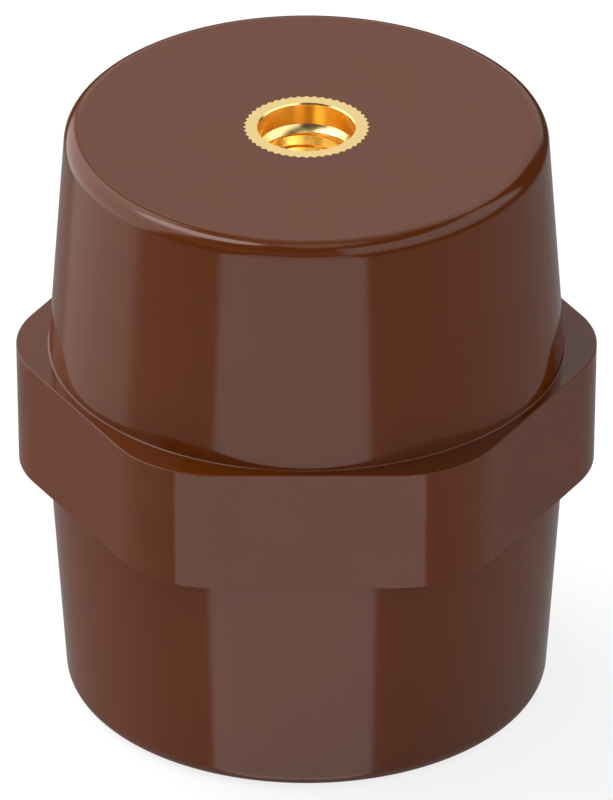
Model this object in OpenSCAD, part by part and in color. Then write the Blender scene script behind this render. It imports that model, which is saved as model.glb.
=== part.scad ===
// Drum-shaped support insulator: one moulded body, waisted towards both ends, with a
// hexagonal collar at mid height and a blind threaded brass insert moulded into each end.
// The axis is Z, the lower end face stands at z = 0, and one flat of the hexagon faces -Y.

/* [Body] */
// Height between the two end faces
total_h = 70; // [62:1:120]
// Diameter of each end face, measured at its sharp corner before rounding
end_d = 54; // [44:0.5:55]
// Draft angle of the two cones, in degrees from the axis
cone_draft = 4; // [1:0.25:4.5]
// Rounding of the rim around each end face
rim_r = 2; // [0.5:0.25:4]

/* [Collar] */
// Width across the flats of the hexagon, at the upper rim where it is widest
collar_af = 59.8; // [59:0.1:72]
// Thickness of the collar along the axis
collar_h = 14.7; // [8:0.1:24]
// Draft angle of the flats, in degrees: the collar is drawn from the mould upwards
collar_draft = 0.9; // [0.25:0.05:1.5]
// Radius of the six upright corners, at the upper rim
collar_corner_r = 12.5; // [4:0.1:16]
// Bevel along the upper and lower rims
collar_bevel = 0.2; // [0.1:0.05:0.4]
// Fillet where each cone runs out on the collar
collar_fillet = 0.3; // [0.1:0.05:0.5]

/* [Insert] */
// Outer diameter over the tips of the knurl
insert_d = 14.1; // [13:0.1:20]
// Length of each insert
insert_l = 26; // [22:0.5:28]
// Number of straight knurl teeth
knurl_count = 48; // [24:4:60]
// Depth of the knurl teeth
knurl_depth = 0.2; // [0.1:0.05:0.4]
// Distance from the end face to the groove that anchors the insert
groove_at = 8; // [5:0.5:12]
// Width of the anchoring groove
groove_w = 4; // [2:0.5:6]
// Depth of the anchoring groove, measured from the tips of the knurl
groove_depth = 0.9; // [0.4:0.1:1.1]
// Length of the smooth nose at the closed end
nose_l = 3; // [2:0.5:5]
// Chamfer around the closed end
nose_chamfer = 0.6; // [0.2:0.1:1]

/* [Thread] */
// Diameter of the tapping hole, which is the thread's inner diameter
tap_d = 8.5; // [6.8:0.1:9]
// Depth to the last full turn of thread, from the end face
thread_depth = 20; // [14:0.5:20.5]
// Plain run-out below the thread
thread_runout = 1.5; // [0.5:0.25:1.5]
// Diameter of the clearance counterbore at the mouth
counterbore_d = 10.8; // [10:0.1:12]
// Depth of the counterbore
counterbore_depth = 2.6; // [1:0.1:5]
// Chamfer at the mouth of the counterbore
mouth_chamfer = 0.2; // [0.1:0.05:0.4]
// Full angle of the countersink between counterbore and thread
countersink_angle = 60; // [60:5:120]
// Full angle of the drill point at the bottom of the hole
drill_angle = 118; // [90:1:135]

/* [Hidden] */
$fn = 96;

end_r = end_d / 2;
// Height of the collar's lower face
collar_z0 = (total_h - collar_h) / 2;
// Radius of a cone at height z, as if the rims were sharp
function cone_r(z) = end_r + tan(cone_draft) * min(z, total_h - z);

// How far the middle of a flat stands out from the cone at the lower, narrower rim
collar_af_low = collar_af - 2 * collar_h * tan(collar_draft);
collar_ledge = collar_af_low / 2 - cone_r(collar_z0);
// The fillet stays on the ledge, inside the bevel
fillet_r = min(collar_fillet, max(collar_ledge - collar_bevel, 0.02));
// The fillet runs this far into the collar, so that the two surfaces cross each other
fillet_sink = 0.01;
// Distance from the axis to the centre of each rounded corner
corner_reach = (collar_af / 2 - collar_corner_r) / cos(30);
// Sides of a corner post: a multiple of 12, so that a side edge lies on every flat
corner_facets = 72;

insert_r = insert_d / 2;
knurl_root_r = insert_r - knurl_depth;
groove_r = insert_r - groove_depth;
tap_r = tap_d / 2;
counterbore_r = counterbore_d / 2;
countersink_depth = (counterbore_r - tap_r) / tan(countersink_angle / 2);
drill_depth = thread_depth + thread_runout;
drill_point = tap_r / tan(drill_angle / 2);
// Cutters run this far past an open face
overshoot = 1;

// Section of one drum half, from its end face (y = 0) to the middle plane
module half_section() {
    half_h = total_h / 2;
    // Rim rounding, from the end face to the cone
    rim = [cone_r(rim_r) - rim_r / cos(cone_draft), rim_r];
    rim_end = rim + rim_r * [cos(cone_draft), -sin(cone_draft)];
    polygon([[0, 0], [rim[0], 0], rim, rim_end, [cone_r(half_h), half_h], [0, half_h]]);
    translate(rim) circle(rim_r);
    // Fillet, from the cone to just under the face of the collar
    foot = collar_z0 + fillet_sink;
    bend = [cone_r(foot - fillet_r) + fillet_r / cos(cone_draft), foot - fillet_r];
    bend_end = bend + fillet_r * [-cos(cone_draft), sin(cone_draft)];
    difference() {
        polygon([[0, bend_end[1]], bend_end, bend, [bend[0], half_h], [0, half_h]]);
        translate(bend) circle(fillet_r);
    }
}

// The drum without its collar, turned as one piece from both half sections
module drum() {
    rotate_extrude() {
        half_section();
        translate([0, total_h]) mirror([0, 1]) half_section();
    }
}

// One rounded corner of the hexagon: a drafted post on its own axis, bevelled at both rims
module corner_post() {
    run = tan(collar_draft);
    low_r = collar_corner_r - collar_h * run;
    rotate_extrude($fn = corner_facets)
        polygon([
            [0, 0],
            [low_r - collar_bevel, 0],
            [low_r + collar_bevel * run, collar_bevel],
            [collar_corner_r - collar_bevel * run, collar_h - collar_bevel],
            [collar_corner_r - collar_bevel, collar_h],
            [0, collar_h]
        ]);
}

// The hexagon, drawn around its six corner posts; its flats take their draft from them
module collar() {
    hull()
        for (turn = [0:60:300])
            rotate([0, 0, turn]) translate([corner_reach, 0, 0]) corner_post();
}

// Cross-section over the knurl: straight V teeth
module knurl_outline() {
    step = 180 / knurl_count;
    polygon([
        for (i = [0:2 * knurl_count - 1])
            let (r = i % 2 == 0 ? insert_r : knurl_root_r)
            r * [cos(i * step), sin(i * step)]
    ]);
}

// Outer form of an insert, with its mouth at z = 0 and its closed end below. The body is
// moulded around the same form, so both pieces meet face to face; as a cutter it runs on
// above the mouth.
module insert_form(above = 0) {
    second_band = groove_at + groove_w;
    nose_at = insert_l - nose_l;
    translate([0, 0, -groove_at])
        linear_extrude(groove_at + above) knurl_outline();
    translate([0, 0, -nose_at])
        linear_extrude(nose_at - second_band) knurl_outline();
    rotate_extrude()
        polygon([
            [0, -insert_l],
            [groove_r - nose_chamfer, -insert_l],
            [groove_r, nose_chamfer - insert_l],
            [groove_r, -groove_at / 2],
            [0, -groove_at / 2]
        ]);
}

// The threaded hole, drilled, countersunk and counterbored from the mouth at z = 0
module threaded_hole() {
    mouth_r = counterbore_r + mouth_chamfer;
    thread_at = counterbore_depth + countersink_depth;
    rotate_extrude()
        polygon([
            [0, overshoot],
            [mouth_r, overshoot],
            [mouth_r, 0],
            [counterbore_r, -mouth_chamfer],
            [counterbore_r, -counterbore_depth],
            [tap_r, -thread_at],
            [tap_r, -drill_depth],
            [0, -drill_depth - drill_point]
        ]);
}

module brass_insert() {
    difference() {
        insert_form();
        threaded_hole();
    }
}

module insulator_body() {
    color([0.36, 0.19, 0.13])
        difference() {
            union() {
                drum();
                translate([0, 0, collar_z0]) collar();
            }
            translate([0, 0, total_h]) insert_form(overshoot);
            rotate([180, 0, 0]) insert_form(overshoot);
        }
}

module top_insert() {
    color([0.85, 0.68, 0.36])
        translate([0, 0, total_h]) brass_insert();
}

module bottom_insert() {
    color([0.85, 0.68, 0.36])
        rotate([180, 0, 0]) brass_insert();
}

insulator_body();
top_insert();
bottom_insert();
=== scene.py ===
"""Support insulator: one moulded drum with a hexagonal collar and two turned brass inserts."""

import math

import bpy
from mathutils import Matrix, Vector


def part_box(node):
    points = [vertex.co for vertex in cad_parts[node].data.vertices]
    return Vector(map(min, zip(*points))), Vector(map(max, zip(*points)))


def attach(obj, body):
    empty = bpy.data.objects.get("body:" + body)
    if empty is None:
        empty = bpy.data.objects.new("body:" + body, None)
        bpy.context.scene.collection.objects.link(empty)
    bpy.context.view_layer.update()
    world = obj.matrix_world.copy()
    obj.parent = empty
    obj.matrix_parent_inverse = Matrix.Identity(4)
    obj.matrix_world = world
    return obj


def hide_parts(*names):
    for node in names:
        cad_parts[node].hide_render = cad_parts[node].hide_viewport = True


bl_info = {
    "name": "Support insulator",
    "version": (1, 0, 0),
    "blender": (4, 5, 0),
    "location": "View3D > Sidebar > Insulator",
    "description": "Dresses the packed support insulator with its moulded body and brass inserts",
    "category": "Object",
}

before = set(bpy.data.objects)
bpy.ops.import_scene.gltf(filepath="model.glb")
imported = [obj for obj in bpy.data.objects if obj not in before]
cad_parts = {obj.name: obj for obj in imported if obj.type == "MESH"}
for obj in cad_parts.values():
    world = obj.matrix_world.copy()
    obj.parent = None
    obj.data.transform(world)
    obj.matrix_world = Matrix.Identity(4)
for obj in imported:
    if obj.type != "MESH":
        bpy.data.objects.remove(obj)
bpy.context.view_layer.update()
BODY_LOW, BODY_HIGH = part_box("insulator_body")
TOP_LOW, TOP_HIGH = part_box("top_insert")

MM = 0.001
# Points around each ring of the body and of an insert: multiples of the 96 points of the knurl
BODY_TURNS = 480
INSERT_TURNS = 192
# Rows of mesh for one pitch of the thread
ROWS_PER_PITCH = 20
# Steps of each rounding on the body: the rims, the fillets and the edges of the collar
RIM_STEPS = 18
FILLET_STEPS = 8
EDGE_STEPS = 6
# One side of the hexagonal collar, as a part of a turn
SECTOR = math.radians(60)
# Cones that make up the hollow countersink
COUNTERSINK_CONES = 4
# On an insert, an edge that turns by more than this is crisp
CRISP_ANGLE = math.radians(24)

# Radius of the studio's tent, and the cells of its mesh around and upwards
TENT_RADIUS = 1.5
TENT_ACROSS = 240
TENT_UP = 120
# How bright the parts of the studio are, where 1 is white
FLOOR_GLOW = 0.48
CARD_GLOW = 1.32
BOX_GLOW = 2.0
STRIP_GLOW = 1.67
WALL_GLOW = 0.83
CEILING_GLOW = 0.4
PANEL_GLOW = 0.9
LAMP_GLOW = 6.4
ROOM_GLOW = 0.05


class MouldedBodySettings(bpy.types.PropertyGroup):
    """Sizes and colour of the moulded body."""

    end_diameter: bpy.props.FloatProperty(
        name="End diameter",
        description="Diameter of each end face at its sharp corner, before rounding",
        default=54 * MM,
        unit="LENGTH",
    )
    cone_draft: bpy.props.FloatProperty(
        name="Cone draft",
        description="Angle between each cone and the axis",
        default=math.radians(4),
        subtype="ANGLE",
    )
    rim_radius: bpy.props.FloatProperty(
        name="Rim radius",
        description="Rounding between an end face and its cone",
        default=2 * MM,
        unit="LENGTH",
    )
    collar_width: bpy.props.FloatProperty(
        name="Collar width",
        description="Across the flats of the hexagon, at its upper rim",
        default=BODY_HIGH.y - BODY_LOW.y,
        unit="LENGTH",
    )
    collar_height: bpy.props.FloatProperty(
        name="Collar height",
        description="Thickness of the hexagon along the axis",
        default=14.7 * MM,
        unit="LENGTH",
    )
    collar_draft: bpy.props.FloatProperty(
        name="Collar draft",
        description="Angle between the flats of the hexagon and the axis",
        default=math.radians(0.9),
        subtype="ANGLE",
    )
    corner_radius: bpy.props.FloatProperty(
        name="Corner radius",
        description="Radius of the upright corners of the hexagon, at its upper rim",
        default=12.5 * MM,
        unit="LENGTH",
    )
    edge_radius: bpy.props.FloatProperty(
        name="Edge radius",
        description="Rounding of the upper and lower edges of the hexagon",
        default=0.12 * MM,
        unit="LENGTH",
    )
    fillet_radius: bpy.props.FloatProperty(
        name="Fillet radius",
        description="Fillet where each cone runs out on the hexagon",
        default=0.2 * MM,
        unit="LENGTH",
    )
    colour: bpy.props.StringProperty(
        name="Colour",
        description="Colour of the moulding compound, as an sRGB hex value",
        default="#562607",
    )


class BrassInsertSettings(bpy.types.PropertyGroup):
    """Sizes and colour of the two brass inserts."""

    diameter: bpy.props.FloatProperty(
        name="Diameter",
        description="Outer diameter over the tips of the knurl",
        default=14.1 * MM,
        unit="LENGTH",
    )
    length: bpy.props.FloatProperty(
        name="Length",
        description="From the open end to the closed end",
        default=TOP_HIGH.z - TOP_LOW.z,
        unit="LENGTH",
    )
    tooth_count: bpy.props.IntProperty(
        name="Teeth",
        description="Number of straight knurl teeth",
        default=48,
    )
    tooth_depth: bpy.props.FloatProperty(
        name="Tooth depth",
        description="Depth of the knurl teeth",
        default=0.3 * MM,
        unit="LENGTH",
    )
    groove_at: bpy.props.FloatProperty(
        name="Groove position",
        description="From the open end to the anchoring groove",
        default=8 * MM,
        unit="LENGTH",
    )
    groove_width: bpy.props.FloatProperty(
        name="Groove width",
        description="Width of the anchoring groove",
        default=4 * MM,
        unit="LENGTH",
    )
    groove_depth: bpy.props.FloatProperty(
        name="Groove depth",
        description="Depth of the anchoring groove, from the tips of the knurl",
        default=0.9 * MM,
        unit="LENGTH",
    )
    nose_length: bpy.props.FloatProperty(
        name="Nose length",
        description="Length of the smooth nose at the closed end",
        default=3 * MM,
        unit="LENGTH",
    )
    nose_chamfer: bpy.props.FloatProperty(
        name="Nose chamfer",
        description="Chamfer around the closed end",
        default=0.6 * MM,
        unit="LENGTH",
    )
    mouth_chamfer: bpy.props.FloatProperty(
        name="Mouth chamfer",
        description="Width of the chamfer at the mouth of the hole",
        default=0.12 * MM,
        unit="LENGTH",
    )
    mouth_angle: bpy.props.FloatProperty(
        name="Mouth angle",
        description="Full angle of the chamfer at the mouth of the hole",
        default=math.radians(70),
        subtype="ANGLE",
    )
    counterbore_diameter: bpy.props.FloatProperty(
        name="Counterbore diameter",
        description="Diameter of the plain mouth of the hole",
        default=10.8 * MM,
        unit="LENGTH",
    )
    counterbore_depth: bpy.props.FloatProperty(
        name="Counterbore depth",
        description="Depth of the plain mouth of the hole",
        default=2.6 * MM,
        unit="LENGTH",
    )
    countersink_angle: bpy.props.FloatProperty(
        name="Countersink angle",
        description="Full angle of the countersink where it leaves the counterbore",
        default=math.radians(78),
        subtype="ANGLE",
    )
    countersink_foot_angle: bpy.props.FloatProperty(
        name="Countersink foot angle",
        description="Full angle of the countersink where it meets the thread",
        default=math.radians(94),
        subtype="ANGLE",
    )
    thread_pitch: bpy.props.FloatProperty(
        name="Thread pitch",
        description="Rise of the thread in one turn",
        default=1.5 * MM,
        unit="LENGTH",
    )
    thread_inner_diameter: bpy.props.FloatProperty(
        name="Thread inner diameter",
        description="Diameter over the crests of the thread",
        default=9.4 * MM,
        unit="LENGTH",
    )
    thread_outer_diameter: bpy.props.FloatProperty(
        name="Thread outer diameter",
        description="Diameter in the roots of the thread",
        default=10.1 * MM,
        unit="LENGTH",
    )
    upper_flank_angle: bpy.props.FloatProperty(
        name="Upper flank angle",
        description="Angle between the upper flank of the groove and a plane across the axis",
        default=math.radians(45),
        subtype="ANGLE",
    )
    lower_flank_angle: bpy.props.FloatProperty(
        name="Lower flank angle",
        description="Angle between the lower flank of the groove and a plane across the axis",
        default=math.radians(70),
        subtype="ANGLE",
    )
    thread_start: bpy.props.FloatProperty(
        name="Thread start",
        description="Depth of the first groove on the side away from the camera",
        default=3.9 * MM,
        unit="LENGTH",
    )
    thread_depth: bpy.props.FloatProperty(
        name="Thread depth",
        description="From the open end to the last full turn",
        default=20 * MM,
        unit="LENGTH",
    )
    thread_runout: bpy.props.FloatProperty(
        name="Thread run-out",
        description="Plain hole below the last full turn",
        default=1.5 * MM,
        unit="LENGTH",
    )
    drill_angle: bpy.props.FloatProperty(
        name="Drill angle",
        description="Full angle of the drill point at the bottom of the hole",
        default=math.radians(118),
        subtype="ANGLE",
    )
    colour: bpy.props.StringProperty(
        name="Colour",
        description="Colour of the brass, as an sRGB hex value",
        default="#FBDC95",
    )


class StudioSettings(bpy.types.PropertyGroup):
    """Floor, lamps and camera."""

    floor_radius: bpy.props.FloatProperty(
        name="Floor radius",
        description="Radius of the round floor under the insulator",
        default=6.0,
        unit="LENGTH",
    )
    floor_colour: bpy.props.StringProperty(
        name="Floor colour",
        description="Colour of the floor, as an sRGB hex value",
        default="#EEEEEE",
    )
    sky_strength: bpy.props.FloatProperty(
        name="Sky strength",
        description="Even light that falls on the insulator from all round",
        default=0.67,
    )
    camera_distance: bpy.props.FloatProperty(
        name="Camera distance",
        description="From the camera to the middle of the insulator",
        default=2.4817,
        unit="LENGTH",
    )
    camera_elevation: bpy.props.FloatProperty(
        name="Camera elevation",
        description="Height of the camera above the horizon",
        default=math.radians(29.99),
        subtype="ANGLE",
    )
    camera_lens: bpy.props.FloatProperty(
        name="Camera lens",
        description="Focal length in millimetres, on a sensor 36 mm long",
        default=993.7,
    )


def linear(hex_colour):
    """The linear colour, with full alpha, of an sRGB hex value."""
    parts = [int(hex_colour[i : i + 2], 16) / 255 for i in (1, 3, 5)]
    shades = [p / 12.92 if p <= 0.04045 else ((p + 0.055) / 1.055) ** 2.4 for p in parts]
    return (*shades, 1.0)


def add_node(tree, kind, sockets=None, **settings):
    """Adds a node, with its settings, and with a link or a value for each socket named."""
    node = tree.nodes.new(kind)
    for name, value in settings.items():
        setattr(node, name, value)
    for name, value in (sockets or {}).items():
        if isinstance(value, bpy.types.NodeSocket):
            tree.links.new(value, node.inputs[name])
        else:
            node.inputs[name].default_value = value
    return node


def empty_material(name):
    """A material without nodes yet, and its tree."""
    material = bpy.data.materials.new(name)
    material.use_nodes = True
    material.node_tree.nodes.clear()
    return material, material.node_tree


def add_object(name, mesh, material):
    """Puts a mesh into the scene as an object of its own."""
    made = bpy.data.objects.new(name, mesh)
    bpy.context.scene.collection.objects.link(made)
    mesh.materials.append(material)
    return made


def moulded_polyester(colour):
    """Glass-fibre polyester compound, pressed in a polished mould.

    The skin is resin-rich and glossy like a glaze, over an opaque brown body colour. Close to, it
    has the faint clouding of the compound, short fibres just under the skin and a slight
    orange-peel wave.
    """
    material, tree = empty_material("moulded_glass_polyester")
    place = add_node(tree, "ShaderNodeTexCoord").outputs["Object"]
    # Clouds of the compound, about 9 mm across
    clouds = add_node(
        tree, "ShaderNodeTexNoise", {"Vector": place, "Scale": 110.0, "Detail": 3.0}
    )
    # Chopped fibres under the skin show as very faint flecks of about 0.3 mm
    flecks = add_node(
        tree, "ShaderNodeTexNoise", {"Vector": place, "Scale": 3300.0, "Detail": 1.0}
    )
    both = add_node(
        tree,
        "ShaderNodeMix",
        {"Factor": 0.1, "A": clouds.outputs["Fac"], "B": flecks.outputs["Fac"]},
    )
    shade = add_node(
        tree,
        "ShaderNodeMapRange",
        {"Value": both.outputs["Result"], "From Min": 0.3, "From Max": 0.7, "To Min": 0.97,
         "To Max": 1.03},
    )
    tint = add_node(
        tree,
        "ShaderNodeVectorMath",
        {0: linear(colour)[:3], "Scale": shade.outputs["Result"]},
        operation="SCALE",
    )
    gloss = add_node(
        tree,
        "ShaderNodeMapRange",
        {"Value": clouds.outputs["Fac"], "From Min": 0.3, "From Max": 0.7, "To Min": 0.09,
         "To Max": 0.11},
    )
    # Orange peel, waves about 2 mm long and under a micron high
    peel = add_node(
        tree, "ShaderNodeTexNoise", {"Vector": place, "Scale": 480.0, "Detail": 1.0}
    )
    wave = add_node(
        tree,
        "ShaderNodeBump",
        {"Height": peel.outputs["Fac"], "Strength": 1.0, "Distance": 0.0012 * MM},
    )
    skin = add_node(
        tree,
        "ShaderNodeBsdfPrincipled",
        {
            "Base Color": tint.outputs["Vector"],
            "Roughness": gloss.outputs["Result"],
            "IOR": 1.5,
            # The photographed skin mirrors about two thirds as much as bare resin
            "Specular IOR Level": 0.33,
            "Normal": wave.outputs["Normal"],
        },
    )
    add_node(tree, "ShaderNodeOutputMaterial", {"Surface": skin.outputs["BSDF"]})
    return material


def turned_brass(colour):
    """Free-cutting brass, turned on a lathe and left bright.

    It mirrors its surroundings in pale gold, softened by the fine rings that the tool leaves, and
    goes to a deep orange where it mirrors itself.
    """
    material, tree = empty_material("turned_brass")
    place = add_node(tree, "ShaderNodeTexCoord").outputs["Object"]
    parts = add_node(tree, "ShaderNodeSeparateXYZ", {"Vector": place})
    flat = add_node(
        tree, "ShaderNodeCombineXYZ", {"X": parts.outputs["X"], "Y": parts.outputs["Y"]}
    )
    reach = add_node(
        tree, "ShaderNodeVectorMath", {0: flat.outputs["Vector"]}, operation="LENGTH"
    )
    # The tool moves along the profile, so its rings follow the radius on a face and the height
    # on a wall. The real feed is near 0.08 mm; it is drawn at 0.16 mm, or it would not show.
    travel = add_node(
        tree,
        "ShaderNodeMath",
        {0: reach.outputs["Value"], 1: parts.outputs["Z"]},
        operation="ADD",
    )
    phase = add_node(
        tree,
        "ShaderNodeMath",
        {0: travel.outputs["Value"], 1: 2 * math.pi / (0.16 * MM)},
        operation="MULTIPLY",
    )
    rings = add_node(tree, "ShaderNodeMath", {0: phase.outputs["Value"]}, operation="SINE")
    # Uneven cutting, in patches about 1 mm across
    patches = add_node(
        tree, "ShaderNodeTexNoise", {"Vector": place, "Scale": 1000.0, "Detail": 2.0}
    )
    gloss = add_node(
        tree,
        "ShaderNodeMapRange",
        {"Value": patches.outputs["Fac"], "From Min": 0.3, "From Max": 0.7, "To Min": 0.17,
         "To Max": 0.23},
    )
    marks = add_node(
        tree,
        "ShaderNodeBump",
        {"Height": rings.outputs["Value"], "Strength": 1.0, "Distance": 0.0006 * MM},
    )
    metal = add_node(
        tree,
        "ShaderNodeBsdfPrincipled",
        {
            "Base Color": linear(colour),
            "Metallic": 1.0,
            "Roughness": gloss.outputs["Result"],
            "Normal": marks.outputs["Normal"],
        },
    )
    add_node(tree, "ShaderNodeOutputMaterial", {"Surface": metal.outputs["BSDF"]})
    return material


def knurl_radius(angle, tip, root, teeth):
    """Radius of the straight-sided knurl outline at an angle, with a tooth tip at angle zero."""
    step = math.pi / teeth
    # A hair more, so that an angle on a tip or in a root counts as the start of its flank
    part, whole = math.modf(angle / step + 1e-9)
    ends = (tip, root) if int(whole) % 2 == 0 else (root, tip)
    a = Vector((ends[0], 0))
    b = Vector((ends[1] * math.cos(step), ends[1] * math.sin(step)))
    cut = Vector((math.cos(part * step), math.sin(part * step)))
    side = b - a
    return (a.x * side.y - a.y * side.x) / (cut.x * side.y - cut.y * side.x)


def insert_profile(sizes):
    """Outer profile of an insert from its open end to its closed end.

    Each entry is a height above the open end, a tip radius and a root radius.
    """
    tip = sizes.diameter / 2
    root = tip - sizes.tooth_depth
    groove = tip - sizes.groove_depth
    second = sizes.groove_at + sizes.groove_width
    nose = sizes.length - sizes.nose_length
    return [
        (0.0, tip, root),
        (-sizes.groove_at, tip, root),
        (-sizes.groove_at, groove, groove),
        (-second, groove, groove),
        (-second, tip, root),
        (-nose, tip, root),
        (-nose, groove, groove),
        (-sizes.length + sizes.nose_chamfer, groove, groove),
        (-sizes.length, groove - sizes.nose_chamfer, groove - sizes.nose_chamfer),
    ]


def hexagon(angle, apothem, reach):
    """Radius and outward direction of a rounded hexagon with a corner at angle zero.

    The corners are arcs around centres that stand at the given reach from the axis.
    """
    corner = round(angle / SECTOR) * SECTOR
    off = angle - corner
    corner_radius = apothem - reach * math.cos(SECTOR / 2)
    tangent = math.atan2(
        corner_radius / 2, reach + corner_radius * math.cos(SECTOR / 2)
    )
    if abs(off) < tangent:
        radius = reach * math.cos(off) + math.sqrt(
            corner_radius**2 - (reach * math.sin(off)) ** 2
        )
        outward = corner + math.atan2(
            radius * math.sin(off), radius * math.cos(off) - reach
        )
    else:
        side = math.copysign(SECTOR / 2, off)
        radius = apothem / math.cos(side - off)
        outward = corner + side
    return radius, outward


class BodyShape:
    """Collects the rings of the body, each with its points and the surface directions."""

    def __init__(self, sizes, insert):
        self.sizes = sizes
        self.insert = insert
        self.rings = []
        # From the axis to the centre of each rounded corner
        self.reach = (sizes.collar_width / 2 - sizes.corner_radius) / math.cos(SECTOR / 2)
        self.turns = self.angles()

    def angles(self):
        """Angles of the points: even, but with one exactly at the end of each rounded corner."""
        step = 2 * math.pi / BODY_TURNS
        tangent = math.atan2(
            self.sizes.corner_radius / 2,
            self.reach + self.sizes.corner_radius * math.cos(SECTOR / 2),
        )
        turns = [i * step for i in range(BODY_TURNS)]
        for k in range(6):
            for side in (-1, 1):
                at = (k * SECTOR + side * tangent) % (2 * math.pi)
                turns[round(at / step) % BODY_TURNS] = at
        return turns

    def add(self, radii, height, before, after=None):
        """Adds a ring. The directions before and after it differ where an edge is crisp."""
        points = [
            (r * math.cos(t), r * math.sin(t), height)
            for r, t in zip(radii, self.turns)
        ]
        self.rings.append((points, before, after or before))

    def around(self, tilt, outward=None):
        """Surface directions round a ring, tilted up from the horizontal by an angle."""
        level, rise = math.cos(tilt), math.sin(tilt)
        return [
            (level * math.cos(t), level * math.sin(t), rise)
            for t in (outward or self.turns)
        ]

    def circle(self, radius, height, tilt, after_tilt=None):
        """Adds a round ring."""
        after = None if after_tilt is None else self.around(after_tilt)
        self.add([radius] * BODY_TURNS, height, self.around(tilt), after)

    def hexagon(self, apothem, height, tilt):
        """Adds a ring along the rounded hexagon."""
        both = [hexagon(t, apothem, self.reach) for t in self.turns]
        self.add([b[0] for b in both], height, self.around(tilt, [b[1] for b in both]))

    def knurled(self, tip, root, height, tilt, after_tilt):
        """Adds a ring along the knurl of an insert."""
        radii = [knurl_radius(t, tip, root, self.insert.tooth_count) for t in self.turns]
        self.add(radii, height, self.around(tilt), self.around(after_tilt))

    def cone_radius(self, from_end):
        """Radius of a cone at a distance from its end face."""
        return self.sizes.end_diameter / 2 + math.tan(self.sizes.cone_draft) * from_end

    def end_rings(self):
        """Rings of one half, from the bottom of its pocket out to the collar, for the lower end.

        Each is a ring kind with its own numbers, at a height above the lower end face.
        """
        s = self.sizes
        down = math.radians(-90)
        made = []
        for depth, tip, root in reversed(insert_profile(self.insert)):
            made.append(("knurled", tip, root, -depth, math.pi, down if depth == 0 else math.pi))
        rim_middle = self.cone_radius(s.rim_radius) - s.rim_radius / math.cos(s.cone_draft)
        for i in range(RIM_STEPS + 1):
            tilt = down + (math.radians(90) - s.cone_draft) * i / RIM_STEPS
            made.append(
                (
                    "circle",
                    rim_middle + s.rim_radius * math.cos(tilt),
                    s.rim_radius * (1 + math.sin(tilt)),
                    tilt,
                )
            )
        foot = (BODY_HIGH.z - BODY_LOW.z - s.collar_height) / 2
        bend = foot - s.fillet_radius
        middle = self.cone_radius(bend) + s.fillet_radius / math.cos(s.cone_draft)
        for i in range(FILLET_STEPS + 1):
            tilt = -s.cone_draft + (down + s.cone_draft) * i / FILLET_STEPS
            made.append(
                (
                    "circle",
                    middle - s.fillet_radius * math.cos(tilt),
                    bend - s.fillet_radius * math.sin(tilt),
                    tilt,
                )
            )
        return made

    def collar_rings(self):
        """Rings of the collar, from its lower face up to its upper face."""
        s = self.sizes
        low = (BODY_HIGH.z - BODY_LOW.z - s.collar_height) / 2
        high = low + s.collar_height
        run = math.tan(s.collar_draft)
        for lower in (True, False):
            start = math.radians(-90) if lower else -s.collar_draft
            end = -s.collar_draft if lower else math.radians(90)
            edge = low + s.edge_radius if lower else high - s.edge_radius
            for i in range(EDGE_STEPS + 1):
                tilt = start + (end - start) * i / EDGE_STEPS
                height = edge + s.edge_radius * math.sin(tilt)
                apothem = s.collar_width / 2 - (high - height) * run
                inset = s.edge_radius * (1 - math.cos(tilt))
                self.hexagon(apothem - inset, height, tilt)

    def build(self):
        """Adds all rings from the lower pocket to the upper one."""
        total = BODY_HIGH.z - BODY_LOW.z
        half = self.end_rings()
        for kind, *numbers in half:
            getattr(self, kind)(*numbers)
        self.collar_rings()
        for kind, *numbers in reversed(half):
            if kind == "circle":
                radius, height, tilt = numbers
                self.circle(radius, total - height, -tilt)
            else:
                tip, root, height, tilt, after = numbers
                self.knurled(tip, root, total - height, -after, math.pi)

    def mesh(self, name):
        """One closed mesh of all rings, with a point in the middle of each pocket's bottom."""
        points = [p for ring in self.rings for p in ring[0]]
        count = BODY_TURNS
        faces, directions = [], []
        for k in range(len(self.rings) - 1):
            low, high = k * count, (k + 1) * count
            low_way, high_way = self.rings[k][2], self.rings[k + 1][1]
            for i in range(count):
                j = (i + 1) % count
                faces.append((low + i, low + j, high + j, high + i))
                directions += [low_way[i], low_way[j], high_way[j], high_way[i]]
        ends = ((0, 1.0), (len(self.rings) - 1, -1.0))
        for ring, up in ends:
            middle = len(points)
            points.append((0.0, 0.0, self.rings[ring][0][0][2]))
            for i in range(count):
                j = (i + 1) % count
                a, b = ring * count + i, ring * count + j
                # The bottom of the lower pocket is a ceiling, and looks down
                faces.append((b, a, middle) if up > 0 else (a, b, middle))
                directions += [(0.0, 0.0, -up)] * 3
        mesh = bpy.data.meshes.new(name)
        mesh.from_pydata(points, [], faces)
        mesh.shade_smooth()
        mesh.normals_split_custom_set(directions)
        return mesh


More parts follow.
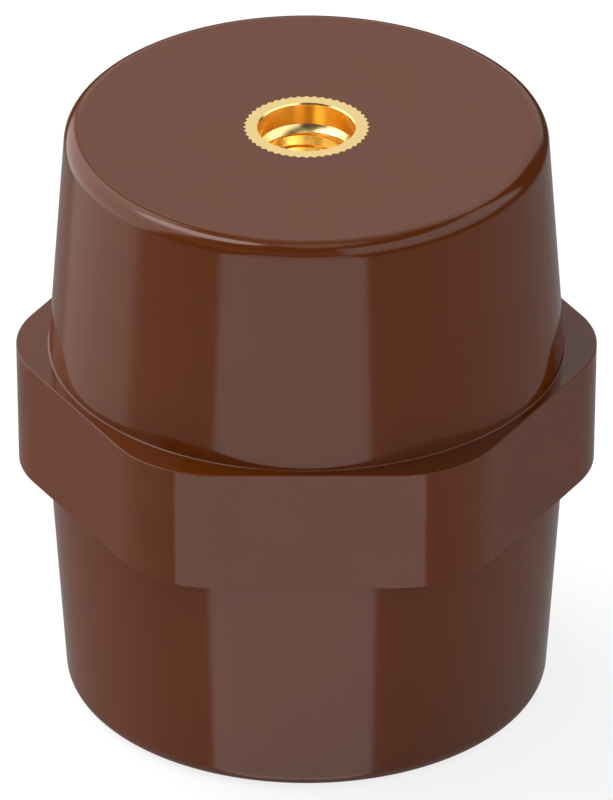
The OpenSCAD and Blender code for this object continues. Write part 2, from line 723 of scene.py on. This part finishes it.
class ThreadedHole:
    """Profile of the hole of an insert at any angle round its axis, below its counterbore."""

    def __init__(self, sizes):
        self.crest = sizes.thread_inner_diameter / 2
        self.root = sizes.thread_outer_diameter / 2
        self.pitch = sizes.thread_pitch
        self.start = sizes.thread_start
        self.first = sizes.counterbore_depth
        self.last = sizes.thread_depth + sizes.thread_runout
        # How fast the radius falls along the upper flank, and along the lower one
        self.steep = {
            -1: 1 / math.tan(sizes.upper_flank_angle),
            1: 1 / math.tan(sizes.lower_flank_angle),
        }
        # Crest and root are equally wide
        run = sum((self.root - self.crest) / steep for steep in self.steep.values())
        self.half_root = (self.pitch - run) / 4
        # The countersink is slightly hollow. It and the tap's lead are cones, each written as its
        # radius at depth zero and its fall.
        widening = sizes.countersink_foot_angle - sizes.countersink_angle
        radius, depth = sizes.counterbore_diameter / 2, self.first
        drop = (radius - self.crest) / COUNTERSINK_CONES
        self.cones = []
        self.breaks = []
        for k in range(COUNTERSINK_CONES):
            part = k / (COUNTERSINK_CONES - 1)
            fall = math.tan((sizes.countersink_angle + widening * part) / 2)
            self.cones.append((radius + depth * fall, fall))
            radius -= drop
            depth += drop / fall
            self.breaks.append(depth)
        fall = (self.root - self.crest) / sizes.thread_runout
        self.lead = (self.crest + self.last * fall, fall)
        self.breaks.append(sizes.thread_depth)

    def groove(self, angle):
        """Depth of the middle of one turn of the groove. It is a right-hand thread."""
        return self.start + self.pitch * (0.25 - angle / (2 * math.pi))

    def radius(self, depth, angle):
        """Radius of the hole at a depth below the open end."""
        across = (depth - self.groove(angle)) % self.pitch
        flanks = [
            self.root - max(off - self.half_root, 0.0) * self.steep[side]
            for side, off in ((1, across), (-1, self.pitch - across))
        ]
        cut = min(max(flanks), self.lead[0] - self.lead[1] * depth)
        countersink = min(radius - fall * depth for radius, fall in self.cones)
        return max(countersink, cut, self.crest)

    def corners(self, angle):
        """Depths at which the profile may turn a corner, in order."""
        depths = list(self.breaks)
        for turn in range(-3, int(self.last / self.pitch) + 2):
            middle = self.groove(angle) + turn * self.pitch
            for side in (-1, 1):
                edge = middle + side * self.half_root
                slope = side * self.steep[side]
                reach = (self.root - self.crest) / self.steep[side]
                depths += [edge, edge + side * reach]
                for radius, fall in (*self.cones, self.lead):
                    # Where the flank crosses the countersink or the lead
                    depth = (radius - self.root - slope * edge) / (fall - slope)
                    if 0 < side * (depth - edge) < reach:
                        depths.append(depth)
        return sorted(depths)


def insert_mesh(name, sizes):
    """An insert with its open end at height zero, and its closed end below."""
    count = INSERT_TURNS
    turns = [2 * math.pi * i / count for i in range(count)]
    rings = []
    for height, tip, root in reversed(insert_profile(sizes)):
        rings.append(
            [(knurl_radius(t, tip, root, sizes.tooth_count), height) for t in turns]
        )
    bore = sizes.counterbore_diameter / 2
    rings.append([(bore + sizes.mouth_chamfer, 0.0)] * count)
    rings.append([(bore, -sizes.mouth_chamfer / math.tan(sizes.mouth_angle / 2))] * count)

    # The threaded part is a fine grid of rows. Round the axis, the row nearest to each corner of
    # the profile is moved onto it, and the cells are cut along the thread, so the edges are crisp.
    hole = ThreadedHole(sizes)
    rows = round((hole.last - hole.first) / sizes.thread_pitch * ROWS_PER_PITCH)
    spacing = (hole.last - hole.first) / rows
    grid = [[hole.first + spacing * k for k in range(rows + 1)] for _ in turns]
    for depths, angle in zip(grid, turns):
        taken = 0
        for corner in hole.corners(angle):
            k = max(round((corner - hole.first) / spacing), taken + 1)
            if corner > hole.first and k < rows:
                depths[k] = corner
                taken = k
    top_of_grid = len(rings)
    for k in range(rows + 1):
        rings.append([(hole.radius(d[k], t), -d[k]) for d, t in zip(grid, turns)])

    points = [
        (r * math.cos(t), r * math.sin(t), z)
        for ring in rings
        for (r, z), t in zip(ring, turns)
    ]
    faces = []
    for k in range(len(rings) - 1):
        low, high = k * count, (k + 1) * count
        for i in range(count):
            j = (i + 1) % count
            if k < top_of_grid:
                faces.append((low + i, low + j, high + j, high + i))
            else:
                faces.append((low + i, low + j, high + i))
                faces.append((low + j, high + j, high + i))
    tip_depth = hole.last + hole.crest / math.tan(sizes.drill_angle / 2)
    for ring, depth in ((0, sizes.length), (len(rings) - 1, tip_depth)):
        middle = len(points)
        points.append((0.0, 0.0, -depth))
        for i in range(count):
            a, b = ring * count + i, ring * count + (i + 1) % count
            faces.append((b, a, middle) if ring == 0 else (a, b, middle))
    mesh = bpy.data.meshes.new(name)
    mesh.from_pydata(points, [], faces)
    mesh.shade_smooth()
    mesh.set_sharp_from_angle(angle=CRISP_ANGLE)
    return mesh


class INSULATOR_OT_body(bpy.types.Operator):
    """Builds the moulded body, in place of its plain solid"""

    bl_idname = "insulator.body"
    bl_label = "Moulded body"

    def execute(self, context):
        sizes = context.scene.moulded_body
        shape = BodyShape(sizes, context.scene.brass_insert)
        shape.build()
        body = add_object(
            "moulded_drum", shape.mesh("moulded_drum"), moulded_polyester(sizes.colour)
        )
        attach(body, "root")
        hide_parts("insulator_body")
        return {"FINISHED"}


class INSULATOR_OT_inserts(bpy.types.Operator):
    """Builds the two brass inserts, in place of their plain solids"""

    bl_idname = "insulator.inserts"
    bl_label = "Brass inserts"

    def execute(self, context):
        sizes = context.scene.brass_insert
        brass = turned_brass(sizes.colour)
        places = {
            "top_insert": Matrix.Translation((0, 0, TOP_HIGH.z)),
            "bottom_insert": Matrix.Rotation(math.pi, 4, "X"),
        }
        for node, place in places.items():
            name = "turned_" + node
            mesh = insert_mesh(name, sizes)
            mesh.transform(place)
            made = add_object(name, mesh, brass)
            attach(made, "root")
            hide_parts(node)
        return {"FINISHED"}


def smooth(value, low, high):
    """Rises smoothly from 0 to 1 between two values."""
    part = min(max((value - low) / (high - low), 0.0), 1.0)
    return part * part * (3 - 2 * part)


def between(value, low, high, soft):
    """1 between two values and 0 outside, with a soft edge of the given width."""
    half = soft / 2
    return smooth(value, low - half, low + half) * (
        1 - smooth(value, high - half, high + half)
    )


def away_from(azimuth, elevation, other_azimuth, other_elevation):
    """Angle between two directions, all in degrees."""
    a, b, c = (
        math.radians(v) for v in (azimuth - other_azimuth, elevation, other_elevation)
    )
    cosine = math.sin(b) * math.sin(c) + math.cos(b) * math.cos(c) * math.cos(a)
    return math.degrees(math.acos(max(-1.0, min(1.0, cosine))))


def studio_glow(azimuth, elevation):
    """How bright the studio round the insulator is in a direction, in degrees.

    Azimuth 0 is towards the camera, and positive to the right.
    """
    back = azimuth % 360
    # White floor, darker behind the insulator, that fades out in the distance
    glow = FLOOR_GLOW - 0.2 * smooth(abs(azimuth), 85, 150)
    glow *= 1 - smooth(elevation, -24, -8)
    # White card under the camera, wider towards the insulator
    slant = elevation + 22
    left = -40.6 + (0.37 if slant < 0 else 0.7) * slant
    right = 28 - (0.275 if slant < 0 else 0.41) * slant
    glow += CARD_GLOW * between(azimuth, left, right, 3) * between(elevation, -76, 6, 9)
    # Tall softbox on the left, brighter towards its top
    left = -157 + 0.35 * max(elevation - 35, 0) + 0.5 * max(10 - elevation, 0)
    right = -71 + (0.58 if elevation < 0 else 0.25) * elevation
    box = between(azimuth, left, right, 9)
    box *= smooth(elevation, -31, -10) * (1 - smooth(elevation, 58, 68))
    box *= BOX_GLOW + 0.4 * smooth(elevation, 32, 45)
    # Low wide softbox on the right
    strip = between(azimuth, 17, 114, 6) * smooth(elevation, -3, 19)
    strip *= STRIP_GLOW * (1 - smooth(elevation, 46, 54))
    # Pale wall behind, brightest half way up
    wall = WALL_GLOW + 0.5 * smooth(elevation, 30, 46) - 0.3 * smooth(elevation, 52, 62)
    wall *= between(back, max(145 - max(elevation - 33, 0), 125), 199, 8)
    wall *= smooth(elevation, 1, 14) * (1 - smooth(elevation, 64, 76))
    glow += box + strip + wall
    # A pale ceiling with a small panel in it, and a long bright lamp on the left
    glow += CEILING_GLOW * smooth(elevation, 64, 76)
    glow += PANEL_GLOW * (1 - smooth(away_from(azimuth, elevation, 15, 76), 9, 16))
    reach = min(
        away_from(azimuth, elevation, -95 + 32 * part, 54 + 10 * part)
        for part in (0, 0.25, 0.5, 0.75, 1)
    )
    lamp = 1 - smooth(reach, 8, 14)
    # The rest of the room is nearly dark, but for some light behind the camera
    room = between(azimuth, -60, 25, 16) * between(elevation, 12, 34, 10)
    room = ROOM_GLOW + 0.25 * room
    return max(glow, room) * (1 - lamp) + LAMP_GLOW * lamp


def glow_tent(middle):
    """A round tent with lit panels on it, which only shiny surfaces see."""
    points, shades, faces = [], [], []
    for k in range(TENT_UP + 1):
        elevation = -90 + 180 * k / TENT_UP
        for i in range(TENT_ACROSS):
            azimuth = -180 + 360 * i / TENT_ACROSS
            a, e = math.radians(azimuth), math.radians(elevation)
            points.append(
                (
                    TENT_RADIUS * math.sin(a) * math.cos(e),
                    -TENT_RADIUS * math.cos(a) * math.cos(e),
                    middle + TENT_RADIUS * math.sin(e),
                )
            )
            shades.append(studio_glow(azimuth, elevation))
    for k in range(TENT_UP):
        low, high = k * TENT_ACROSS, (k + 1) * TENT_ACROSS
        for i in range(TENT_ACROSS):
            j = (i + 1) % TENT_ACROSS
            faces.append((low + i, high + i, high + j, low + j))
    mesh = bpy.data.meshes.new("studio_tent")
    mesh.from_pydata(points, [], faces)
    mesh.attributes.new("glow", "FLOAT", "POINT").data.foreach_set("value", shades)
    material, tree = empty_material("lit_tent_cloth")
    glow = add_node(tree, "ShaderNodeAttribute", attribute_name="glow")
    light = add_node(
        tree,
        "ShaderNodeEmission",
        {"Color": linear("#FFFFFF"), "Strength": glow.outputs["Fac"]},
    )
    add_node(tree, "ShaderNodeOutputMaterial", {"Surface": light.outputs["Emission"]})
    tent = add_object("studio_tent", mesh, material)
    tent.visible_camera = False
    tent.visible_diffuse = False
    tent.visible_transmission = False
    tent.visible_shadow = False
    return tent


def seen_directly(tree):
    """1 for what the camera sees, straight or in metal and glass, and 0 for light on surfaces."""
    path = add_node(tree, "ShaderNodeLightPath")
    seen = add_node(
        tree,
        "ShaderNodeMath",
        {0: path.outputs["Is Camera Ray"], 1: path.outputs["Is Glossy Ray"]},
        operation="ADD",
    )
    through = add_node(
        tree,
        "ShaderNodeMath",
        {0: seen.outputs["Value"], 1: path.outputs["Is Transmission Ray"]},
        operation="ADD",
        use_clamp=True,
    )
    return through.outputs["Value"]


def pale_floor(colour):
    """Matt white paper, seen nearly white, with the insulator's soft shadow on it."""
    material, tree = empty_material("matt_white_paper")
    paper = add_node(tree, "ShaderNodeBsdfDiffuse", {"Color": linear(colour)})
    shaded = add_node(tree, "ShaderNodeBsdfDiffuse", {"Color": linear("#7A7A7A")})
    bright = add_node(
        tree, "ShaderNodeEmission", {"Color": linear("#FFFFFF"), "Strength": 0.8}
    )
    lifted = add_node(
        tree,
        "ShaderNodeAddShader",
        {0: shaded.outputs["BSDF"], 1: bright.outputs["Emission"]},
    )
    mixed = add_node(
        tree,
        "ShaderNodeMixShader",
        {0: seen_directly(tree), 1: paper.outputs["BSDF"], 2: lifted.outputs["Shader"]},
    )
    add_node(tree, "ShaderNodeOutputMaterial", {"Surface": mixed.outputs["Shader"]})
    return material


class INSULATOR_OT_stage(bpy.types.Operator):
    """Sets up the floor, the lamps, the tent that shiny surfaces mirror, and the camera"""

    bl_idname = "insulator.stage"
    bl_label = "Stage"

    def execute(self, context):
        scene = context.scene
        stage = scene.insulator_stage
        middle = (BODY_LOW.z + BODY_HIGH.z) / 2

        # A hair below the insulator, so that the two faces don't mix
        ground_level = BODY_LOW.z - 0.05 * MM
        rim = [
            (stage.floor_radius * math.cos(math.radians(a)),
             stage.floor_radius * math.sin(math.radians(a)), ground_level)
            for a in range(0, 360, 5)
        ]
        ground = bpy.data.meshes.new("floor")
        ground.from_pydata(rim, [], [tuple(range(len(rim)))])
        floor = add_object("floor", ground, pale_floor(stage.floor_colour))
        # The tent has its own ground, so the floor stays out of reflections
        floor.visible_glossy = False
        tent = glow_tent(middle)

        # Each lamp: azimuth, elevation, strength, width of the light in degrees
        lamps = {
            "key_lamp": (-120, 40, 1.05, 60),
            "front_lamp": (-10, 34, 0.1, 70),
        }
        for name, (azimuth, elevation, strength, width) in lamps.items():
            sun = bpy.data.lights.new(name, "SUN")
            # A strength of pi lights a white surface to 1
            sun.energy = strength * math.pi
            sun.angle = math.radians(width)
            lamp = bpy.data.objects.new(name, sun)
            scene.collection.objects.link(lamp)
            a, e = math.radians(azimuth), math.radians(elevation)
            towards = Vector(
                (math.sin(a) * math.cos(e), -math.cos(a) * math.cos(e), math.sin(e))
            )
            lamp.location = towards
            lamp.rotation_euler = towards.to_track_quat("Z", "Y").to_euler()
            lamp.visible_glossy = False

        world = bpy.data.worlds.new("studio")
        scene.world = world
        world.use_nodes = True
        tree = world.node_tree
        tree.nodes.clear()
        level = add_node(
            tree,
            "ShaderNodeMapRange",
            {"Value": seen_directly(tree), "To Min": stage.sky_strength, "To Max": 1.0},
        )
        sky = add_node(
            tree,
            "ShaderNodeBackground",
            {"Color": linear("#FFFFFF"), "Strength": level.outputs["Result"]},
        )
        add_node(tree, "ShaderNodeOutputWorld", {"Surface": sky.outputs["Background"]})

        lens = bpy.data.cameras.new("camera")
        lens.lens = stage.camera_lens
        lens.sensor_width = 36
        lens.clip_start = 0.1
        lens.clip_end = 50
        camera = bpy.data.objects.new("camera", lens)
        scene.collection.objects.link(camera)
        away = Vector(
            (0, -math.cos(stage.camera_elevation), math.sin(stage.camera_elevation))
        )
        camera.location = Vector((0, 0, middle)) + away * stage.camera_distance
        # The photograph's frame hangs a hair lower than the middle of the insulator
        aim = Vector((0, 0, middle - 0.2 * MM))
        camera.rotation_euler = (camera.location - aim).to_track_quat("Z", "Y").to_euler()
        scene.camera = camera
        # Light goes round many times inside a brass bore
        scene.cycles.glossy_bounces = 12
        scene.view_settings.view_transform = "Standard"
        return {"FINISHED"}


class INSULATOR_PT_sidebar(bpy.types.Panel):
    """Lists the pieces of the insulator and its stage"""

    bl_idname = "INSULATOR_PT_sidebar"
    bl_label = "Support insulator"
    bl_space_type = "VIEW_3D"
    bl_region_type = "UI"
    bl_category = "Insulator"

    def draw(self, context):
        scene = context.scene
        rows = (
            (INSULATOR_OT_body, scene.moulded_body),
            (INSULATOR_OT_inserts, scene.brass_insert),
            (INSULATOR_OT_stage, scene.insulator_stage),
        )
        for operator, settings in rows:
            box = self.layout.box()
            for name in settings.__annotations__:
                box.prop(settings, name)
            box.operator(operator.bl_idname)


CLASSES = (
    MouldedBodySettings,
    BrassInsertSettings,
    StudioSettings,
    INSULATOR_OT_body,
    INSULATOR_OT_inserts,
    INSULATOR_OT_stage,
    INSULATOR_PT_sidebar,
)


def register():
    for cls in CLASSES:
        bpy.utils.register_class(cls)
    scene = bpy.types.Scene
    scene.moulded_body = bpy.props.PointerProperty(type=MouldedBodySettings)
    scene.brass_insert = bpy.props.PointerProperty(type=BrassInsertSettings)
    scene.insulator_stage = bpy.props.PointerProperty(type=StudioSettings)


def unregister():
    for name in ("insulator_stage", "brass_insert", "moulded_body"):
        delattr(bpy.types.Scene, name)
    for cls in reversed(CLASSES):
        bpy.utils.unregister_class(cls)


def main():
    register()
    bpy.ops.insulator.body()
    bpy.ops.insulator.inserts()
    bpy.ops.insulator.stage()


if __name__ == "__main__":
    main()
